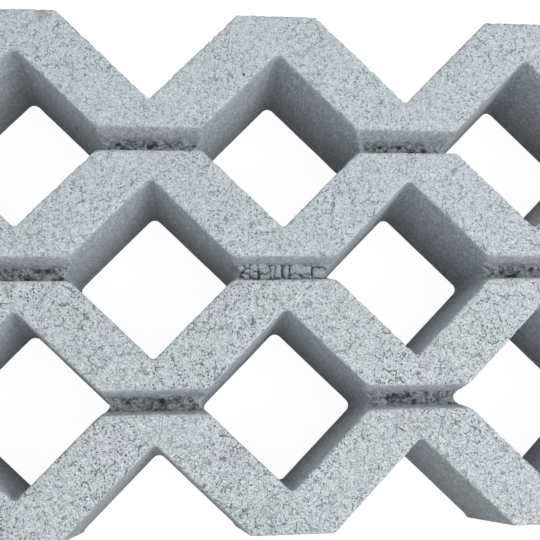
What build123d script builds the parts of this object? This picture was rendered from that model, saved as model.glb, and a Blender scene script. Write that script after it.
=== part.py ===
from build123d import *
import os

# Grass paver: one concrete block, cast as a lattice of square cells set on their corners.
# Millimetres. X runs along the block, Y across its rows of cells, +Z up through the wearing
# face. The origin is the centre of the footprint, on the underside.

# Block envelope, the laying module of the standard unit
LENGTH = 600.0
WIDTH = 400.0
THICKNESS = 80.0

# Planting cells: each row is half a pitch out of step with the next
CELL_PITCH = 200.0
ROW_PITCH = 100.0

# Half of a cell's diagonal. The cores taper, so that they draw out through the wearing face.
HALF_DIAGONAL_TOP = 69.0
HALF_DIAGONAL_BOTTOM = 64.0

# The corners of a cell are crisp at the wearing face and rounder at the underside
CORNER_RADIUS_TOP = 3.0
CORNER_RADIUS_BOTTOM = 7.5

# Grooves across the webs, left by the bars that held the cores, one along each inner row
GROOVE_WIDTH_TOP = 18.5
GROOVE_WIDTH_FLOOR = 9.5
GROOVE_DEPTH = 20.0
GROOVE_FLOOR_RADIUS = 3.0
GROOVE_MOUTH_RADIUS = 2.5

# Width taken off the upright corners where a flat of the outline turns into an edge notch
OUTLINE_CORNER_CHAMFER = 1.5

# How far a cutting shape runs past the faces of the block
OVERRUN = 5.0


def at_height(bottom, top, z):
    """A size that changes evenly from the underside to the wearing face, at height z."""
    return bottom + (top - bottom) * z / THICKNESS


def cell_centres():
    """Centres of all cells that reach the block; those on its outline become notches."""
    rows = round(WIDTH / ROW_PITCH)
    columns = round(LENGTH / CELL_PITCH)
    centres = []
    for row in range(rows + 1):
        out_of_step = row % 2
        for column in range(columns + 1 - out_of_step):
            x = (column + out_of_step / 2) * CELL_PITCH - LENGTH / 2
            centres.append((x, row * ROW_PITCH - WIDTH / 2))
    return centres


def groove_centres():
    """Middle of the groove along each row of cells inside the outline."""
    rows = round(WIDTH / ROW_PITCH)
    return [(0, row * ROW_PITCH - WIDTH / 2) for row in range(1, rows)]


def is_groove_mouth(edge):
    """True for an edge where a groove wall meets the wearing face."""
    middle = edge @ 0.5
    along_block = abs((edge @ 0).Y - (edge @ 1).Y) < 0.01
    at_wearing_face = abs(middle.Z - THICKNESS) < 0.01
    beside_row = any(abs(abs(middle.Y - y) - GROOVE_WIDTH_TOP / 2) < 0.01 for _, y in groove_centres())
    return along_block and at_wearing_face and beside_row


def is_outline_corner(edge):
    """True for an upright edge where an outer flat ends at a notch."""
    start = edge @ 0
    end = edge @ 1
    upright = abs(start.Z - end.Z) > THICKNESS / 2
    on_side = min(abs(start.Y), abs(end.Y)) > WIDTH / 2 - 0.01
    on_end = min(abs(start.X), abs(end.X)) > LENGTH / 2 - 0.01
    return upright and (on_side or on_end)


# Core of one cell: a square on its corner, with rounded corners, lofted from below to above
with BuildPart(mode=Mode.PRIVATE) as cell_core:
    for height in (-OVERRUN, THICKNESS + OVERRUN):
        half_diagonal = at_height(HALF_DIAGONAL_BOTTOM, HALF_DIAGONAL_TOP, height)
        corner_radius = at_height(CORNER_RADIUS_BOTTOM, CORNER_RADIUS_TOP, height)
        side = half_diagonal * 2**0.5
        with BuildSketch(Plane.XY.offset(height)):
            RectangleRounded(side, side, corner_radius, rotation=45)
    loft(ruled=True)

# Bar that holds a row of cores: tapered, with a softened lower edge, longer than the block
with BuildPart(mode=Mode.PRIVATE) as core_bar:
    wall_lean = (GROOVE_WIDTH_TOP - GROOVE_WIDTH_FLOOR) / 2 / GROOVE_DEPTH
    half_head = GROOVE_WIDTH_TOP / 2 + wall_lean * OVERRUN
    half_floor = GROOVE_WIDTH_FLOOR / 2
    head_height = THICKNESS + OVERRUN
    floor_height = THICKNESS - GROOVE_DEPTH
    with BuildSketch(Plane.YZ):
        with BuildLine():
            Polyline(
                (-half_head, head_height),
                (-half_floor, floor_height),
                (half_floor, floor_height),
                (half_head, head_height),
                close=True,
            )
        make_face()
    extrude(amount=LENGTH / 2 + OVERRUN, both=True)
    fillet(core_bar.edges().filter_by(Axis.X).group_by(Axis.Z)[0], GROOVE_FLOOR_RADIUS)

# The block: its envelope, less the cells, with the outline corners eased, less the grooves,
# whose mouths are rounded over into the wearing face
with BuildPart() as paver_block:
    Box(LENGTH, WIDTH, THICKNESS, align=(Align.CENTER, Align.CENTER, Align.MIN))
    with Locations(*cell_centres()):
        add(cell_core.part, mode=Mode.SUBTRACT)
    chamfer(paver_block.edges().filter_by(is_outline_corner), OUTLINE_CORNER_CHAMFER)
    with Locations(*groove_centres()):
        add(core_bar.part, mode=Mode.SUBTRACT)
    fillet(paver_block.edges().filter_by(is_groove_mouth), GROOVE_MOUTH_RADIUS)

paver_block.part.label = "paver_block"
os.makedirs("parts", exist_ok=True)
export_step(paver_block.part, "parts/paver_block.step")
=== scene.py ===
import math

import bpy
import numpy as np
from mathutils import Matrix, Vector


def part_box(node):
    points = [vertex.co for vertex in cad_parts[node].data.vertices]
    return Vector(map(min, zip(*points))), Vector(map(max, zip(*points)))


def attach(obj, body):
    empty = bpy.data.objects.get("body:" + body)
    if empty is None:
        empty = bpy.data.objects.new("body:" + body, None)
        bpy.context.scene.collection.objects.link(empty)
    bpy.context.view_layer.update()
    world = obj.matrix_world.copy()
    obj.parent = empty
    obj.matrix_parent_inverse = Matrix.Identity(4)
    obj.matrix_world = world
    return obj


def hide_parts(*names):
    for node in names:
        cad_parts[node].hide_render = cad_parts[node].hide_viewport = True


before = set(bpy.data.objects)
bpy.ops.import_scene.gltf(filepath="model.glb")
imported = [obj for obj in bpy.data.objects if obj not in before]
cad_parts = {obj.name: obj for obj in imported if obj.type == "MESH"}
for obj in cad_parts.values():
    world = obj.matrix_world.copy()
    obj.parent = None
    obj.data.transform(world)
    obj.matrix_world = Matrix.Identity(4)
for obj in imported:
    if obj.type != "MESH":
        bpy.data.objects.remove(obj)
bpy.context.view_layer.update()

# The block is worked out in millimetres and turned into metres when its mesh is made
MM = 0.001
BLOCK = "paver_block"
low, high = (np.array(corner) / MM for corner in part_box(BLOCK))
LENGTH, WIDTH, THICKNESS = high - low

# Cells, as cast: squares on their corners, drafted, with corners that widen downwards
CELL_PITCH = 200.0
ROW_PITCH = 100.0
HALF_DIAGONAL_TOP = 69.0
HALF_DIAGONAL_BOTTOM = 64.0
CORNER_RADIUS_TOP = 3.0
CORNER_RADIUS_BOTTOM = 6.2

# Grooves along the inner rows of cells
GROOVE_HALF_WIDTH = 9.25
GROOVE_WALL_LEAN = 0.225
GROOVE_DEPTH = 20.0
GROOVE_CORNER_RADIUS = 1.0
GROOVE_FLOOR = THICKNESS - GROOVE_DEPTH

# Crumbling of a groove's walls: how high over the floor it reaches, the height over which it fades
# out, and the share of it that the floor has too
CRUMBLED_HEIGHT = 9.0
CRUMBLED_FADE = 7.0
CRUMBLED_FLOOR_SHARE = 0.5

# Part of the field that a groove changes: how far it reaches beside the groove and below its floor
GROOVE_WINDOW_BESIDE = 9.0
GROOVE_WINDOW_BELOW = 10.0

# Pits between the crumbs of a groove floor: their depth, size, stretch along the groove, and the
# part of the noise that leaves none
PIT_DEPTH = 4.5
PIT_SIZE = 3.2
PIT_STRETCH = 1.6
PIT_THRESHOLD = 0.2
PIT_SEED = 92

# Broken stones bared in the floor of the middle web: x, y, half length and half width of each, then
# their level, the joints between them, and the bed that falls away beside them
BARED_STONES = (
    (-14.4, 2.6, 3.7, 2.9), (-8.3, 1.2, 1.5, 4.7), (-3.2, 1.0, 2.3, 5.0), (2.4, 1.4, 2.0, 4.6),
    (14.0, 2.6, 7.9, 3.6), (27.2, -0.8, 4.6, 3.2), (-14.2, -3.0, 3.2, 1.5), (10.6, -3.4, 3.4, 1.2),
    (-22.5, 3.6, 2.2, 2.0), (-22.9, -1.4, 2.3, 1.9), (-27.6, 1.0, 1.8, 1.9), (-27.8, 5.4, 2.0, 1.8),
    (-32.3, 3.6, 2.1, 1.9), (-28.4, -3.4, 2.0, 1.5), (-33.5, 7.8, 2.0, 1.5), (18.6, -3.3, 3.6, 1.3),
)
BARED_LENGTH = 37.0
BARED_HALF_WIDTH = 6.2
BARED_LEVEL = 66.6
STONE_CORNER_RADIUS = 1.0
STONE_LIFT = 0.7
STONE_SLOPE = 0.14
STONE_SEED = 97
JOINT_WIDTH = 1.5
JOINT_DEPTH = 3.6
BED_SLOPE = 0.6
BED_REACH = 3.0

# Worn edges: the radius of each. A groove's arris narrows downwards, to this share at its floor.
TOP_ARRIS = 0.9
BOTTOM_ARRIS = 1.2
UPRIGHT_ARRIS = 2.2
GROOVE_ARRIS = 2.6
GROOVE_ARRIS_AT_FLOOR = 0.25

# Relief, in layers of noise: the strength of each, the size of its lumps, and its seed
WALL_WAVES = ((0.16, 17.0, 1), (0.07, 6.0, 2))
TREAD_DIPS = ((0.22, 26.0, 3), (0.1, 7.0, 4))
TOP_ARRIS_WAVES = ((0.45, 11.0, 5),)
GROOVE_ARRIS_WAVES = ((0.35, 14.0, 30),)
GROOVE_WAVER = ((0.35, 23.0, 40), (0.15, 6.0, 50))
GROOVE_CRUMBS = ((0.8, 4.2, 60), (0.9, 2.3, 70))
GROOVE_GRAIN = ((0.12, 5.0, 80),)
FLOOR_CRUMBS = ((1.2, 4.8, 90), (0.9, 2.6, 91))
STONE_BEND_X = ((0.9, 3.4, 95), (0.5, 1.7, 98))
STONE_BEND_Y = ((0.9, 3.4, 96), (0.5, 1.7, 99))

# Crumbs lost along the upper arrises: depth, size, seed, and the part of the noise that leaves none.
# They get fewer with the square of the distance from the arris, in square millimetres.
LOST_CRUMBS = ((2.3, 3.1, 6, 0.15), (1.4, 1.9, 7, 0.0))
LOST_CRUMB_REACH = 5.0

# Points of the field that the surface is drawn from: their usual spacing, the finest one around the
# groove floors and in the middle web, and the coarse one between these two heights
STEP = 1.25
FINE_STEP = 0.8
COARSE_STEP = 3.2
FIELD_MARGIN = 1.9
COARSE_FROM = 4.0
COARSE_TO = GROOVE_FLOOR - 8.0
FINE_FROM = GROOVE_FLOOR - 4.0
FINE_TO = GROOVE_FLOOR + 9.0
TRIANGLE_LIMIT = 190_000
BOX_CORNERS = [(i, j, k) for i in (0, 1) for j in (0, 1) for k in (0, 1)]

# What the material takes for a groove: it fades over these widths at the groove's sides and at the
# block's ends, and grows by this much with each millimetre from a cell's wall
GROOVE_SIDE_MARGIN = 1.0
GROOVE_SIDE_FADE = 1.5
GROOVE_END_MARGIN = 1.5
GROOVE_END_FADE = 4.0
CELL_WALL_FADE = 1.5

# Pits in the material: the depth under the stones or the crumbled floor where they start, the depth
# over which they get darker, and their strength
STONE_PIT_FROM = 1.4
STONE_PIT_FADE = 2.2
STONE_PIT_SHARE = 0.8
CRUMB_PIT_FROM = 0.4
CRUMB_PIT_FADE = 2.4
CRUMB_PIT_SHARE = 0.9

# Trough in the material, for painted shade deep in a groove and for its crumbs: the depth under the
# tread where it starts to show, and for the bared stones its strength and how far above them it starts
TROUGH_FROM = 3.0
STONE_TROUGH_SHARE = 0.85
STONE_TROUGH_HEIGHT = 2.0

# Colours of the concrete, and of the painted shade low on the walls and deep in the grooves
PASTE = (0.57, 0.618, 0.668, 1)
CYAN_TINT = (0.94, 0.995, 1.0, 1)
BLUE_TINT = (0.95, 0.975, 1.0, 1)
PALE_SAND = (0.99, 1.0, 1.0, 1)
DARK_SAND = (0.235, 0.255, 0.275, 1)
DARK_GRAIN = (0.24, 0.26, 0.28, 1)
FLAW = (0.09, 0.10, 0.11, 1)
PALE_WALL = (0.72, 0.765, 0.82, 1)
DARK_WALL = (0.40, 0.437, 0.475, 1)
DRAGGED_WALL = (0.27, 0.29, 0.31, 1)
GRITTY_WALL = (0.25, 0.27, 0.29, 1)
CLOUDY_WALL = (0.29, 0.32, 0.32, 1)
# painted shade: the colour that the walls darken to low down
SHADED_LOW_WALL = (0.20, 0.215, 0.235, 1)
PALE_CRUMB = (0.56, 0.59, 0.62, 1)
DARK_CRUMB = (0.21, 0.225, 0.24, 1)
CRUMB_GAP = (0.08, 0.085, 0.09, 1)
# painted shade: the colour that a groove darkens to deep in its trough
PAINTED_TROUGH_SHADE = (0.14, 0.15, 0.16, 1)
PIT = (0.05, 0.054, 0.06, 1)

# Sizes in the material, in metres: how far a random net is bent, its pits and grains, the height
# under which a wall gets painted shade, the two places along Y between which the tread gets coarser
BEND = 0.0018
LARGE_PIT = 0.0036
SMALL_PIT = 0.0019
SAND_GRAIN = 0.0012
PAINTED_SHADE_UNDER = 0.06
FINER_AT = 0.2
COARSER_AT = -0.15
BUMP_DEPTH = 0.0008

# How many lumps or cells the textures of the material have to the metre
SAND_DENSITY = 1000.0
BEND_DENSITY = 700.0
DRAG_DENSITY = 700.0
MOTTLING_DENSITY = 420.0
CRUMB_GAP_DENSITY = 330.0
RIM_PATCH_DENSITY = 210.0
RIM_DENSITY = 150.0
CLOUD_DENSITY = 120.0
CRACK_PATCH_DENSITY = 60.0
CRACK_DENSITY = 42.0
TINT_DENSITY = 34.0
WORN_PATCH_DENSITY = 22.0

# Marks: their colour and strength, then the start, end and half width of each
RUST = (0.30, 0.17, 0.12, 1)
DIRT = (0.16, 0.12, 0.09, 1)
TAN = (0.50, 0.40, 0.27, 1)
BLACK = (0.02, 0.02, 0.022, 1)
MARKS = (
    (RUST, 0.4, [((-186, 197, 79.5), (-171, 195, 79.5), 8.0)]),
    (DIRT, 0.8, [
        ((-169, 200, 79), (-124, 156, 79), 2.2), ((117, 153, 79.5), (107, 144, 79.5), 1.9),
    ]),
    (TAN, 0.7, [((94, -125.6, 79.5), (94, -125.6, 79.5), 2.8)]),
    (BLACK, 0.9, [
        ((82, -122.7, 79.5), (89.5, -127.4, 79.5), 0.8), ((-27, 151.5, 79.5), (-27, 151.5, 79.5), 1.7),
        ((-181.8, 146.4, 11), (-181.8, 146.4, 11), 2.2), ((-160.4, 126.7, 36), (-160.4, 126.7, 36), 2.2),
    ]),
)

# Studio, in metres: a large floor just under the block, an even sky and one soft lamp
FLOOR_REACH = 6.0
FLOOR_HEIGHT = -0.0002
FLOOR_GREY = (0.12, 0.12, 0.12, 1)
FLOOR_GLOW = 0.94
WHITE = (1, 1, 1, 1)
SKY_STRENGTH = 0.74
LAMP_SIZE = 1.2
LAMP_POWER = 20
LAMP_PLACE = (1.5, -0.7, 1.45)

# Camera: place in millimetres, turns in radians, focal length in pixels of the picture's 540
CAMERA_PLACE = (-76.6, -140.1, 620.1)
CAMERA_TURNS = (0.0846, -0.0982, -0.0299)
FOCAL_PIXELS = 733.7
PICTURE_PIXELS = 540
SENSOR_MM = 36.0
SHIFT_X = 0.0187
SHIFT_Y = 0.23


def smooth_step(t):
    return t * t * (3 - 2 * t)


def fade(distance, width):
    """Grows evenly from 0 to 1 over this width."""
    return np.clip(distance / width, 0, 1)


def noise(axes, size, seed):
    """Smooth random values from -1 to 1 on the points of a grid, in lumps of about this size."""
    rng = np.random.default_rng(seed)
    counts = [int((axis[-1] - axis[0]) / size) + 3 for axis in axes]
    values = rng.uniform(-1, 1, counts).astype(np.float32)
    for direction, axis in enumerate(axes):
        place = (axis - axis[0]) / size + rng.uniform(0, 0.99)
        first = place.astype(int)
        share = smooth_step(place - first).astype(np.float32)
        share = share.reshape([-1 if d == direction else 1 for d in range(len(axes))])
        before = np.take(values, first, axis=direction)
        after = np.take(values, first + 1, axis=direction)
        values = before * (1 - share) + after * share
    return values


def relief(axes, layers, number=0):
    """Adds up layers of noise. The number of a groove goes into the seeds, so that each differs."""
    return sum(strength * noise(axes, size, seed + number) for strength, size, seed in layers)


def cut(a, b, radius):
    """What two shapes share, with the edge between them rounded to this radius."""
    outside = np.hypot(np.maximum(radius + a, 0), np.maximum(radius + b, 0))
    return np.minimum(-radius, np.maximum(a, b)) + outside


def rounded_corner(du, dv, radius):
    """Distance outside a corner whose faces lie at du = 0 and dv = 0, rounded to this radius."""
    du = du + radius
    dv = dv + radius
    return np.hypot(np.maximum(du, 0), np.maximum(dv, 0)) + np.minimum(np.maximum(du, dv), 0) - radius


def places(start, end, spans):
    """Places along an axis: at each span's own spacing inside it, and at the usual one elsewhere."""
    found = [start]
    while found[-1] < end:
        steps = [step for first, last, step in spans if first <= found[-1] < last]
        found.append(found[-1] + (steps[0] if steps else STEP))
    return np.array(found, np.float32)


def groove_rows():
    """The y of each row of cells inside the outline."""
    rows = round(WIDTH / ROW_PITCH)
    return [row * ROW_PITCH - WIDTH / 2 for row in range(1, rows)]


def grid_axes():
    """X, Y and Z of the field's points, a little past the block on all sides."""
    half_length = LENGTH / 2 + FIELD_MARGIN
    half_width = WIDTH / 2 + FIELD_MARGIN
    x = places(-half_length, half_length, [(-BARED_LENGTH, BARED_LENGTH, FINE_STEP)])
    grooves = [(row - GROOVE_HALF_WIDTH, row + GROOVE_HALF_WIDTH, FINE_STEP) for row in groove_rows()]
    y = places(-half_width, half_width, grooves)
    heights = [(COARSE_FROM, COARSE_TO, COARSE_STEP), (FINE_FROM, FINE_TO, FINE_STEP)]
    z = places(-FIELD_MARGIN, THICKNESS + FIELD_MARGIN, heights)
    return [x, y, z]


def cell_distance(x, y, z):
    """Distance from the wall of the nearest cell, in the concrete, as the cores left it."""
    pitch = CELL_PITCH / math.sqrt(2)
    u = np.abs(np.mod((x + y) / math.sqrt(2), pitch) - pitch / 2)
    v = np.abs(np.mod((x - y) / math.sqrt(2), pitch) - pitch / 2)
    rise = np.clip(z / THICKNESS, 0, 1)
    half_diagonal = HALF_DIAGONAL_BOTTOM + (HALF_DIAGONAL_TOP - HALF_DIAGONAL_BOTTOM) * rise
    half_side = half_diagonal / math.sqrt(2)
    corner = CORNER_RADIUS_BOTTOM + (CORNER_RADIUS_TOP - CORNER_RADIUS_BOTTOM) * rise
    return rounded_corner(u - half_side, v - half_side, corner)


def block_field(axes):
    """Signed distance, in millimetres, to the worn surface of the block: negative in the concrete."""
    x, y, z = axes
    flat_axes = (x, y)
    cells = -cell_distance(x[:, None, None], y[None, :, None], z)
    cells += relief(axes, WALL_WAVES)
    outline = cut((np.abs(x) - LENGTH / 2)[:, None], (np.abs(y) - WIDTH / 2)[None, :], UPRIGHT_ARRIS)
    sides = cut(cells, outline[:, :, None], UPRIGHT_ARRIS)

    dips = sum(depth * (1 + noise(flat_axes, size, seed)) for depth, size, seed in TREAD_DIPS)
    tread = (z - THICKNESS)[None, None, :] + dips[:, :, None]
    arris = TOP_ARRIS * (1 + relief(flat_axes, TOP_ARRIS_WAVES))
    block = cut(sides, tread, arris[:, :, None])
    block += lost_crumbs(axes, sides, tread)

    block = cut(block, -z[None, None, :], BOTTOM_ARRIS)
    for number, row in enumerate(groove_rows()):
        cut_groove(block, axes, row, number)
    return block


def lost_crumbs(axes, sides, tread):
    """Depth of the crumbs lost along the arrises between the sides and the tread."""
    near_edge = np.exp(-(sides * sides + tread * tread) / LOST_CRUMB_REACH)
    return near_edge * sum(
        depth * np.maximum(noise(axes, size, seed) - least, 0) for depth, size, seed, least in LOST_CRUMBS
    )


def cut_groove(block, axes, row, number):
    """Cuts one groove, with the coarse open floor that the tamping of the mix left under the bar."""
    x, y, z = axes
    beside = np.abs(y - row) < GROOVE_HALF_WIDTH + GROOVE_WINDOW_BESIDE
    above = z > GROOVE_FLOOR - GROOVE_WINDOW_BELOW
    part_axes = (x, y[beside], z[above])
    across = part_axes[1] - row
    height = part_axes[2]

    lean = GROOVE_WALL_LEAN * (height - THICKNESS)
    to_wall = np.abs(across)[None, :, None] - GROOVE_HALF_WIDTH - lean[None, None, :]
    to_wall = to_wall + relief((x,), GROOVE_WAVER, number)[:, None, None]
    floor = crumbled_floor(x, across, number)
    if abs(row) < ROW_PITCH / 2:
        middle = np.abs(x) < BARED_LENGTH
        floor[middle] = np.maximum(floor[middle], bared_floor(x[middle], across))
    to_floor = floor[:, :, None] - height

    low_down = fade(GROOVE_FLOOR + CRUMBLED_HEIGHT - height, CRUMBLED_FADE)
    rough = low_down * relief(part_axes, GROOVE_CRUMBS, number)
    bar = -rounded_corner(to_wall + rough, to_floor + CRUMBLED_FLOOR_SHARE * rough, GROOVE_CORNER_RADIUS)
    bar += relief(part_axes, GROOVE_GRAIN, number)

    arris = GROOVE_ARRIS * (1 + relief((x,), GROOVE_ARRIS_WAVES, number))
    narrowing = np.clip((height - GROOVE_FLOOR) / GROOVE_DEPTH, GROOVE_ARRIS_AT_FLOOR, 1)
    window = np.ix_(np.ones(len(x), bool), beside, above)
    block[window] = cut(block[window], bar, arris[:, None, None] * narrowing)


def crumbled_floor(x, across, number):
    """Height of a groove's floor: crumbs of a mix that the bar barely pressed, and pits between them."""
    crumbs = relief((x, across), FLOOR_CRUMBS, number)
    hollows = noise((x / PIT_STRETCH, across), PIT_SIZE, PIT_SEED + number) - PIT_THRESHOLD
    return GROOVE_FLOOR + crumbs - PIT_DEPTH * np.maximum(hollows, 0)


def bared_floor(x, across):
    """Height of the middle web's floor, where flat broken stones stand proud, with open joints."""
    bend_x = relief((x, across), STONE_BEND_X)
    bend_y = relief((x, across), STONE_BEND_Y)
    nearest = BARED_HALF_WIDTH - np.abs(across[None, :] + bend_y)
    second = np.full_like(nearest, LENGTH)
    level = np.full_like(nearest, BARED_LEVEL)
    rng = np.random.default_rng(STONE_SEED)
    for at_x, at_y, half_length, half_width in BARED_STONES:
        step_x = x[:, None] + bend_x - at_x
        step_y = across[None, :] + bend_y - at_y
        outside = rounded_corner(
            np.abs(step_x) - half_length, np.abs(step_y) - half_width, STONE_CORNER_RADIUS,
        )
        slope_x, slope_y, lift = rng.uniform(-1, 1, 3)
        top = BARED_LEVEL + STONE_LIFT * lift + STONE_SLOPE * (slope_x * step_x + slope_y * step_y)
        level = np.where(outside < nearest, top, level)
        second = np.minimum(second, np.maximum(outside, nearest))
        nearest = np.minimum(nearest, outside)
    joint = np.clip(1 - (second - nearest) / JOINT_WIDTH, 0, 1)
    return level - JOINT_DEPTH * joint - BED_SLOPE * np.clip(nearest, 0, BED_REACH)


def mixed_boxes(inside):
    """Boxes of eight neighbouring points that the surface passes through, and a grid of their numbers."""
    shape = [count - 1 for count in inside.shape]
    total = np.zeros(shape, np.uint8)
    for corner in BOX_CORNERS:
        total += inside[tuple(slice(step, step + count) for step, count in zip(corner, shape))]
    boxes = np.argwhere((total > 0) & (total < len(BOX_CORNERS)))
    numbers = np.full(shape, -1, np.int32)
    numbers[tuple(boxes.T)] = np.arange(len(boxes))
    return boxes, numbers


def box_vertices(field, axes, boxes):
    """One vertex for each box: the mean of the places where the box's edges cross the surface."""
    sums = np.zeros((len(boxes), 3))
    counts = np.zeros((len(boxes), 1))
    for first in BOX_CORNERS:
        for direction in range(3):
            if first[direction]:
                continue
            start = boxes + first
            end = start.copy()
            end[:, direction] += 1
            value_start = field[tuple(start.T)]
            value_end = field[tuple(end.T)]
            crosses = (value_start < 0) != (value_end < 0)
            share = np.where(crosses, value_start / np.where(crosses, value_start - value_end, 1), 0)
            point = np.stack([axes[d][start[:, d]] for d in range(3)], axis=1).astype(float)
            reach = axes[direction][end[:, direction]] - axes[direction][start[:, direction]]
            point[:, direction] += share * reach
            sums += point * crosses[:, None]
            counts += crosses[:, None]
    return sums / counts


def crossing_faces(inside, numbers):
    """A four-sided face, facing outwards, for each pair of neighbours that the surface passes between."""
    faces = []
    for direction in range(3):
        after = [slice(None)] * 3
        before = [slice(None)] * 3
        after[direction] = slice(1, None)
        before[direction] = slice(None, -1)
        first_in = inside[tuple(before)]
        mixed = np.argwhere(first_in != inside[tuple(after)])
        others = [d for d in range(3) if d != direction]
        ring = []
        for back in ((1, 1), (0, 1), (0, 0), (1, 0)):
            box = mixed.copy()
            box[:, others[0]] -= back[0]
            box[:, others[1]] -= back[1]
            ring.append(numbers[tuple(box.T)])
        quads = np.stack(ring, axis=1)
        outward = first_in[tuple(mixed.T)] ^ (direction == 1)
        quads[~outward] = quads[~outward][:, ::-1]
        faces.append(quads)
    return np.concatenate(faces)


def surface(field, axes):
    """Vertices and four-sided faces of the field's zero surface."""
    inside = field < 0
    boxes, numbers = mixed_boxes(inside)
    return box_vertices(field, axes, boxes), crossing_faces(inside, numbers)


def mesh_from(name, vertices, faces):
    mesh = bpy.data.meshes.new(name)
    mesh.vertices.add(len(vertices))
    mesh.vertices.foreach_set("co", np.asarray(vertices, np.float32).ravel())
    mesh.loops.add(faces.size)
    mesh.loops.foreach_set("vertex_index", faces.ravel().astype(np.int32))
    mesh.polygons.add(len(faces))
    loop_starts = np.arange(0, faces.size, faces.shape[1], dtype=np.int32)
    mesh.polygons.foreach_set("loop_start", loop_starts)
    mesh.update(calc_edges=True)
    mesh.validate()
    return mesh


def thin_out(thing, limit):
    """Merges flat stretches of the mesh until it has this many triangles."""
    triangles = 2 * len(thing.data.polygons)
    modifier = thing.modifiers.new("thin", "DECIMATE")
    modifier.ratio = min(1, limit / triangles)
    graph = bpy.context.evaluated_depsgraph_get()
    thinned = bpy.data.meshes.new_from_object(thing.evaluated_get(graph))
    thing.modifiers.clear()
    heavy = thing.data
    thing.data = thinned
    bpy.data.meshes.remove(heavy)


def vertex_places(mesh):
    """A row of x, y and z, in metres, for each vertex."""
    points = np.empty(3 * len(mesh.vertices), np.float32)
    mesh.vertices.foreach_get("co", points)
    return points.reshape(-1, 3)


def keep_in_box(mesh):
    """Brings the vertices that thinning pushed past the block's box back onto it."""
    inside = np.clip(vertex_places(mesh), low * MM, high * MM).astype(np.float32)
    mesh.vertices.foreach_set("co", inside.ravel())
    mesh.update()


def mark_grooves(mesh):
    """Stores, for the material, how far each vertex lies in a groove's trough, which gets painted shade,
    and in its pits.
    """
    x, y, z = vertex_places(mesh).T / MM
    to_row = np.min([np.abs(y - row) for row in groove_rows()], axis=0)
    in_groove = fade(GROOVE_HALF_WIDTH + GROOVE_SIDE_MARGIN - to_row, GROOVE_SIDE_FADE)
    in_groove = in_groove * (z > GROOVE_FLOOR - CRUMBLED_HEIGHT)
    clear_of_cell = np.clip(CELL_WALL_FADE * cell_distance(x, y, z), 0, 1)
    clear_of_end = fade(LENGTH / 2 - GROOVE_END_MARGIN - np.abs(x), GROOVE_END_FADE)
    in_groove *= clear_of_cell * clear_of_end

    bared = (np.abs(x) < BARED_LENGTH) & (np.abs(y) < GROOVE_HALF_WIDTH)
    stone_pit = (BARED_LEVEL - STONE_PIT_FROM - z) / STONE_PIT_FADE
    crumb_pit = (GROOVE_FLOOR - CRUMB_PIT_FROM - z) / CRUMB_PIT_FADE
    pit_share = np.where(bared, STONE_PIT_SHARE, CRUMB_PIT_SHARE)
    pit = np.clip(np.where(bared, stone_pit, crumb_pit), 0, 1) * in_groove * pit_share

    # trough: how deep a place lies in a groove, for the painted shade there and for the crumbs
    stone_trough = STONE_TROUGH_SHARE * (z < BARED_LEVEL + STONE_TROUGH_HEIGHT)
    crumb_trough = (THICKNESS - TROUGH_FROM - z) / (GROOVE_DEPTH - TROUGH_FROM)
    trough = np.clip(np.where(bared, stone_trough, crumb_trough), 0, 1) * in_groove
    for name, values in (("pit", pit), ("trough", trough)):
        stored = mesh.attributes.new(name, "FLOAT", "POINT")
        stored.data.foreach_set("value", values.astype(np.float32))


def make_block():
    """The worn block as one mesh, with its material."""
    axes = grid_axes()
    vertices, faces = surface(block_field(axes), axes)
    vertices = np.clip(vertices, low, high) * MM
    thing = bpy.data.objects.new("cast_block", mesh_from("cast_block", vertices, faces))
    bpy.context.scene.collection.objects.link(thing)
    thin_out(thing, TRIANGLE_LIMIT)
    keep_in_box(thing.data)
    thing.data.polygons.foreach_set("use_smooth", [True] * len(thing.data.polygons))
    mark_grooves(thing.data)
    thing.data.materials.append(concrete())
    return thing


def node(tree, kind, settings=None, **inputs):
    """Adds a shader node, with a value or another node's output for each input; gives its first output."""
    made = tree.nodes.new("ShaderNode" + kind)
    for name, value in (settings or {}).items():
        setattr(made, name, value)
    for name, value in inputs.items():
        numbered = name.startswith("in")
        socket = made.inputs[int(name[2:])] if numbered else made.inputs[name.replace("_", " ")]
        if isinstance(value, bpy.types.NodeSocket):
            tree.links.new(value, socket)
        else:
            socket.default_value = value
    return next(output for output in made.outputs if output.enabled)


def maths(tree, operation, a, b=0.0, c=0.0):
    return node(tree, "Math", {"operation": operation}, in0=a, in1=b, in2=c)


def ramp(tree, value, low_value, high_value, low_result=0.0, high_result=1.0):
    """Brings a value from one range to another, smoothly and held at both ends."""
    return node(
        tree, "MapRange", {"interpolation_type": "SMOOTHSTEP"},
        in0=value, in1=low_value, in2=high_value, in3=low_result, in4=high_result,
    )


def blend(tree, share, a, b):
    return node(tree, "Mix", {"data_type": "RGBA"}, in0=share, in6=a, in7=b)


def tinted(tree, colour, tint):
    settings = {"data_type": "RGBA", "blend_type": "MULTIPLY"}
    return node(tree, "Mix", settings, in0=1.0, in6=colour, in7=tint)


def grain(tree, place, per_metre, detail=2.0):
    """Noise with this many lumps to the metre."""
    return node(tree, "TexNoise", Vector=place, Scale=per_metre, Detail=detail, Roughness=0.65)


def split_vector(tree, vector, part):
    split = tree.nodes.new("ShaderNodeSeparateXYZ")
    tree.links.new(vector, split.inputs[0])
    return split.outputs[part]


def stored_value(tree, name):
    attribute = tree.nodes.new("ShaderNodeAttribute")
    attribute.attribute_name = name
    return attribute.outputs["Fac"]


def random_net(tree, place, size):
    """A net of random cells: the distance from a cell's middle, and the cell's own random value."""
    net = tree.nodes.new("ShaderNodeTexVoronoi")
    net.inputs["Scale"].default_value = 1 / size
    tree.links.new(place, net.inputs["Vector"])
    split = tree.nodes.new("ShaderNodeSeparateColor")
    tree.links.new(net.outputs["Color"], split.inputs[0])
    return net.outputs["Distance"], split.outputs[0]


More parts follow.
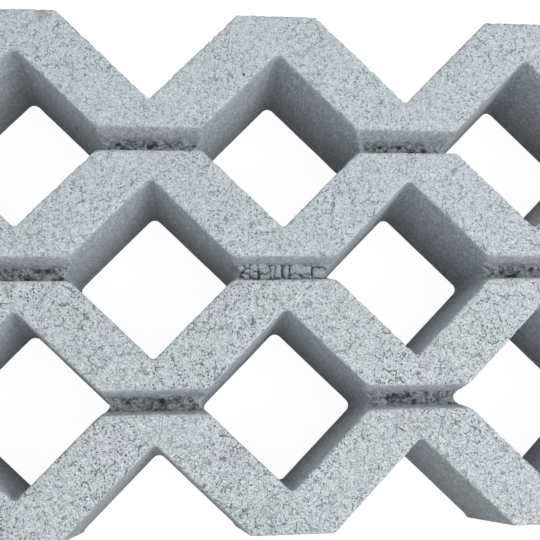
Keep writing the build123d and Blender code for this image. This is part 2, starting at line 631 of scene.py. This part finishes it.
def net_lines(tree, place, per_metre, inner, outer):
    """Lines along the borders of a random net with this many cells to the metre."""
    to_border = node(tree, "TexVoronoi", {"feature": "DISTANCE_TO_EDGE"}, Vector=place, Scale=per_metre)
    return ramp(tree, to_border, inner, outer, 1.0, 0.0)


def pits(tree, place, size, share, inner, outer):
    """Dots: one in each chosen cell of a random net of this size, with radii given in cells."""
    distance, value = random_net(tree, place, size)
    chosen = maths(tree, "LESS_THAN", value, share)
    return maths(tree, "MULTIPLY", ramp(tree, distance, inner, outer, 1.0, 0.0), chosen)


def bent_place(tree, place):
    """The place shifted a little by noise, so that nets drawn there have no straight lines."""
    wobble = tree.nodes.new("ShaderNodeTexNoise")
    wobble.inputs["Scale"].default_value = BEND_DENSITY
    tree.links.new(place, wobble.inputs["Vector"])
    bent = node(
        tree, "VectorMath", {"operation": "MULTIPLY_ADD"},
        in0=wobble.outputs["Color"], in1=(BEND,) * 3, in2=place,
    )
    return node(tree, "VectorMath", {"operation": "SUBTRACT"}, in0=bent, in1=(BEND / 2,) * 3)


def tread_flaws(tree, place, bent, nearness):
    """Grain rims, hairlines and pits of the tread, stronger in worn patches and on its coarser side."""
    rims = net_lines(tree, bent, RIM_DENSITY, 0.015, 0.075)
    rim_patches = ramp(tree, grain(tree, place, RIM_PATCH_DENSITY), 0.5, 0.62)
    rims = maths(tree, "MULTIPLY", rims, rim_patches)
    cracks = net_lines(tree, bent, CRACK_DENSITY, 0.006, 0.022)
    crack_patches = ramp(tree, grain(tree, place, CRACK_PATCH_DENSITY), 0.6, 0.64)
    cracks = maths(tree, "MULTIPLY", cracks, crack_patches)
    flaws = maths(tree, "MAXIMUM", rims, cracks)
    flaws = maths(tree, "MAXIMUM", flaws, pits(tree, bent, LARGE_PIT, 0.6, 0.12, 0.3))
    flaws = maths(tree, "MAXIMUM", flaws, pits(tree, bent, SMALL_PIT, 0.55, 0.12, 0.36))
    worn = ramp(tree, grain(tree, place, WORN_PATCH_DENSITY), 0.38, 0.62, 0.6, 1.0)
    rougher = maths(tree, "MULTIPLY_ADD", nearness, 0.35, 0.8)
    return maths(tree, "MULTIPLY", flaws, maths(tree, "MULTIPLY", worn, rougher))


def tread_colour(tree, place, bent, fine, nearness, flaws):
    """Sand and grains in a grey paste, tinted in broad patches, under the dark flaws."""
    sandy = blend(tree, ramp(tree, fine, 0.35, 0.65), DARK_SAND, PALE_SAND)
    grains = blend(tree, random_net(tree, bent, SAND_GRAIN)[1], DARK_GRAIN, PALE_SAND)
    paste_share = ramp(tree, nearness, 0.0, 1.0, 0.42, 0.2)
    colour = blend(tree, paste_share, blend(tree, 0.5, sandy, grains), PASTE)
    broad = ramp(tree, grain(tree, place, TINT_DENSITY, 3.0), 0.38, 0.62)
    colour = tinted(tree, colour, blend(tree, broad, CYAN_TINT, BLUE_TINT))
    return blend(tree, maths(tree, "MULTIPLY", flaws, 0.8), colour, FLAW)


def wall_colour(tree, place, fine, mottled):
    """The smoother cell walls: mottled, faintly dragged upwards, gritty, and darker low down as painted
    shade.
    """
    drawn = node(tree, "Mapping", Vector=place, Scale=(1.0, 1.0, 0.12))
    drag = ramp(tree, grain(tree, drawn, DRAG_DENSITY), 0.35, 0.65, 0.22, 0.0)
    grit = ramp(tree, fine, 0.3, 0.6, 0.6, 0.0)
    clouds = ramp(tree, grain(tree, place, CLOUD_DENSITY, 3.0), 0.35, 0.65, 0.0, 0.35)
    # painted shade: the walls get darker towards the bottom, under this height
    low_down = ramp(tree, split_vector(tree, place, "Z"), 0.0, PAINTED_SHADE_UNDER, 0.4, 0.0)
    colour = blend(tree, ramp(tree, mottled, 0.35, 0.65), DARK_WALL, PALE_WALL)
    colour = blend(tree, drag, colour, DRAGGED_WALL)
    colour = blend(tree, grit, colour, GRITTY_WALL)
    colour = blend(tree, clouds, colour, CLOUDY_WALL)
    return blend(tree, low_down, colour, SHADED_LOW_WALL)


def crumb_colour(tree, bent, fine):
    """The loose crumbs on the groove floors, with dark gaps."""
    colour = blend(tree, ramp(tree, fine, 0.35, 0.65), DARK_CRUMB, PALE_CRUMB)
    gaps = ramp(tree, grain(tree, bent, CRUMB_GAP_DENSITY), 0.45, 0.6, 0.0, 0.8)
    return blend(tree, gaps, colour, CRUMB_GAP)


def mark(tree, place, start, end, half_width):
    """How far a place on the block lies in a mark drawn from start to end, given in millimetres."""
    start = Vector(start) * MM
    end = Vector(end) * MM
    reach = max((end - start).length / 2, half_width * MM)
    along = node(
        tree, "Mapping", {"vector_type": "TEXTURE"}, Vector=place, Location=(start + end) / 2,
        Rotation=(0, 0, math.atan2(end.y - start.y, end.x - start.x)),
        Scale=(reach, half_width * MM, half_width * MM),
    )
    away = tree.nodes.new("ShaderNodeVectorMath")
    away.operation = "LENGTH"
    tree.links.new(along, away.inputs[0])
    return ramp(tree, away.outputs["Value"], 0.3, 1.0, 1.0, 0.0)


def with_marks(tree, place, colour):
    for tint, strength, marks in MARKS:
        for start, end, half_width in marks:
            share = maths(tree, "MULTIPLY", mark(tree, place, start, end, half_width), strength)
            colour = blend(tree, share, colour, tint)
    return colour


def new_material(name, roughness):
    """A new material, with its node tree and its shader."""
    material = bpy.data.materials.new(name)
    material.use_nodes = True
    shader = material.node_tree.nodes["Principled BSDF"]
    shader.inputs["Roughness"].default_value = roughness
    return material, material.node_tree, shader


def concrete():
    """Dry-cast concrete: a sandy speckled tread, smoother mottled walls, and dark crumbled grooves, with
    painted shade low on the walls and deep in the grooves.
    """
    material, tree, shader = new_material("concrete", 0.92)
    shader.inputs["Specular IOR Level"].default_value = 0.2

    place = tree.nodes.new("ShaderNodeTexCoord").outputs["Object"]
    bent = bent_place(tree, place)
    fine = grain(tree, place, SAND_DENSITY, 3.0)
    mottled = grain(tree, place, MOTTLING_DENSITY, 3.0)
    nearness = ramp(tree, split_vector(tree, place, "Y"), FINER_AT, COARSER_AT)
    flaws = tread_flaws(tree, place, bent, nearness)

    normal = tree.nodes.new("ShaderNodeNewGeometry").outputs["Normal"]
    tread = ramp(tree, split_vector(tree, normal, "Z"), 0.45, 0.85)
    trough = stored_value(tree, "trough")
    crumbled = ramp(tree, trough, 0.86, 1.0)
    walls = wall_colour(tree, place, fine, mottled)
    colour = blend(tree, tread, walls, tread_colour(tree, place, bent, fine, nearness, flaws))
    # painted shade: darker the deeper a place lies in a groove's trough
    colour = blend(tree, ramp(tree, trough, 0.45, 1.0, 0.0, 0.3), colour, PAINTED_TROUGH_SHADE)
    colour = blend(tree, crumbled, colour, crumb_colour(tree, bent, fine))
    colour = blend(tree, stored_value(tree, "pit"), colour, PIT)
    tree.links.new(with_marks(tree, bent, colour), shader.inputs["Base Color"])

    rough = ramp(tree, maths(tree, "MAXIMUM", tread, crumbled), 0.0, 1.0, 0.25, 1.0)
    height = maths(tree, "SUBTRACT", fine, maths(tree, "MULTIPLY", flaws, 0.8))
    height = maths(tree, "MULTIPLY", height, rough)
    height = maths(tree, "ADD", height, maths(tree, "MULTIPLY", mottled, 0.45))
    bump = node(tree, "Bump", Strength=0.8, Distance=BUMP_DEPTH, Height=height)
    tree.links.new(bump, shader.inputs["Normal"])
    return material


def seen_directly(tree):
    """1 for what the camera sees straight on, in a gloss or through glass, and 0 for other light."""
    path = tree.nodes.new("ShaderNodeLightPath")
    seen = maths(tree, "ADD", path.outputs["Is Camera Ray"], path.outputs["Is Glossy Ray"])
    return maths(tree, "ADD", seen, path.outputs["Is Transmission Ray"])


def make_floor():
    """A floor that looks white, keeps the block's shadow and throws little light back."""
    material, tree, shader = new_material("floor", 1.0)
    shader.inputs["Base Color"].default_value = FLOOR_GREY
    shader.inputs["Emission Color"].default_value = WHITE
    glow = maths(tree, "MULTIPLY", seen_directly(tree), FLOOR_GLOW)
    tree.links.new(glow, shader.inputs["Emission Strength"])

    mesh = bpy.data.meshes.new("floor")
    corners = [(-1, -1), (1, -1), (1, 1), (-1, 1)]
    vertices = [(x * FLOOR_REACH, y * FLOOR_REACH, FLOOR_HEIGHT) for x, y in corners]
    mesh.from_pydata(vertices, [], [(0, 1, 2, 3)])
    mesh.materials.append(material)
    floor = bpy.data.objects.new("floor", mesh)
    bpy.context.scene.collection.objects.link(floor)


def make_world():
    """An even sky that lights the block, seen as plain white."""
    world = bpy.data.worlds.new("studio")
    bpy.context.scene.world = world
    world.use_nodes = True
    tree = world.node_tree
    tree.nodes.clear()
    sky = node(tree, "Background", Color=WHITE, Strength=SKY_STRENGTH)
    backdrop = node(tree, "Background", Color=WHITE, Strength=1.0)
    both = node(tree, "MixShader", in0=seen_directly(tree), in1=sky, in2=backdrop)
    output = tree.nodes.new("ShaderNodeOutputWorld")
    tree.links.new(both, output.inputs["Surface"])


def make_lamp():
    data = bpy.data.lights.new("softbox", "AREA")
    data.shape = "SQUARE"
    data.size = LAMP_SIZE
    data.energy = LAMP_POWER
    lamp = bpy.data.objects.new("softbox", data)
    bpy.context.scene.collection.objects.link(lamp)
    lamp.location = LAMP_PLACE
    lamp.rotation_mode = "QUATERNION"
    lamp.rotation_quaternion = lamp.location.to_track_quat("Z", "Y")


def make_camera():
    data = bpy.data.cameras.new("camera")
    data.sensor_width = SENSOR_MM
    data.lens = FOCAL_PIXELS * SENSOR_MM / PICTURE_PIXELS
    data.shift_x = SHIFT_X
    data.shift_y = SHIFT_Y
    camera = bpy.data.objects.new("camera", data)
    bpy.context.scene.collection.objects.link(camera)
    turn_x, turn_y, turn_z = (
        Matrix.Rotation(angle, 4, axis) for angle, axis in zip(CAMERA_TURNS, "XYZ")
    )
    place = Matrix.Translation(Vector(CAMERA_PLACE) * MM)
    camera.matrix_world = place @ turn_z @ turn_y @ turn_x
    bpy.context.scene.camera = camera


block = make_block()
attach(block, "root")
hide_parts(BLOCK)

make_floor()
make_world()
make_lamp()
make_camera()
bpy.context.scene.view_settings.view_transform = "Standard"
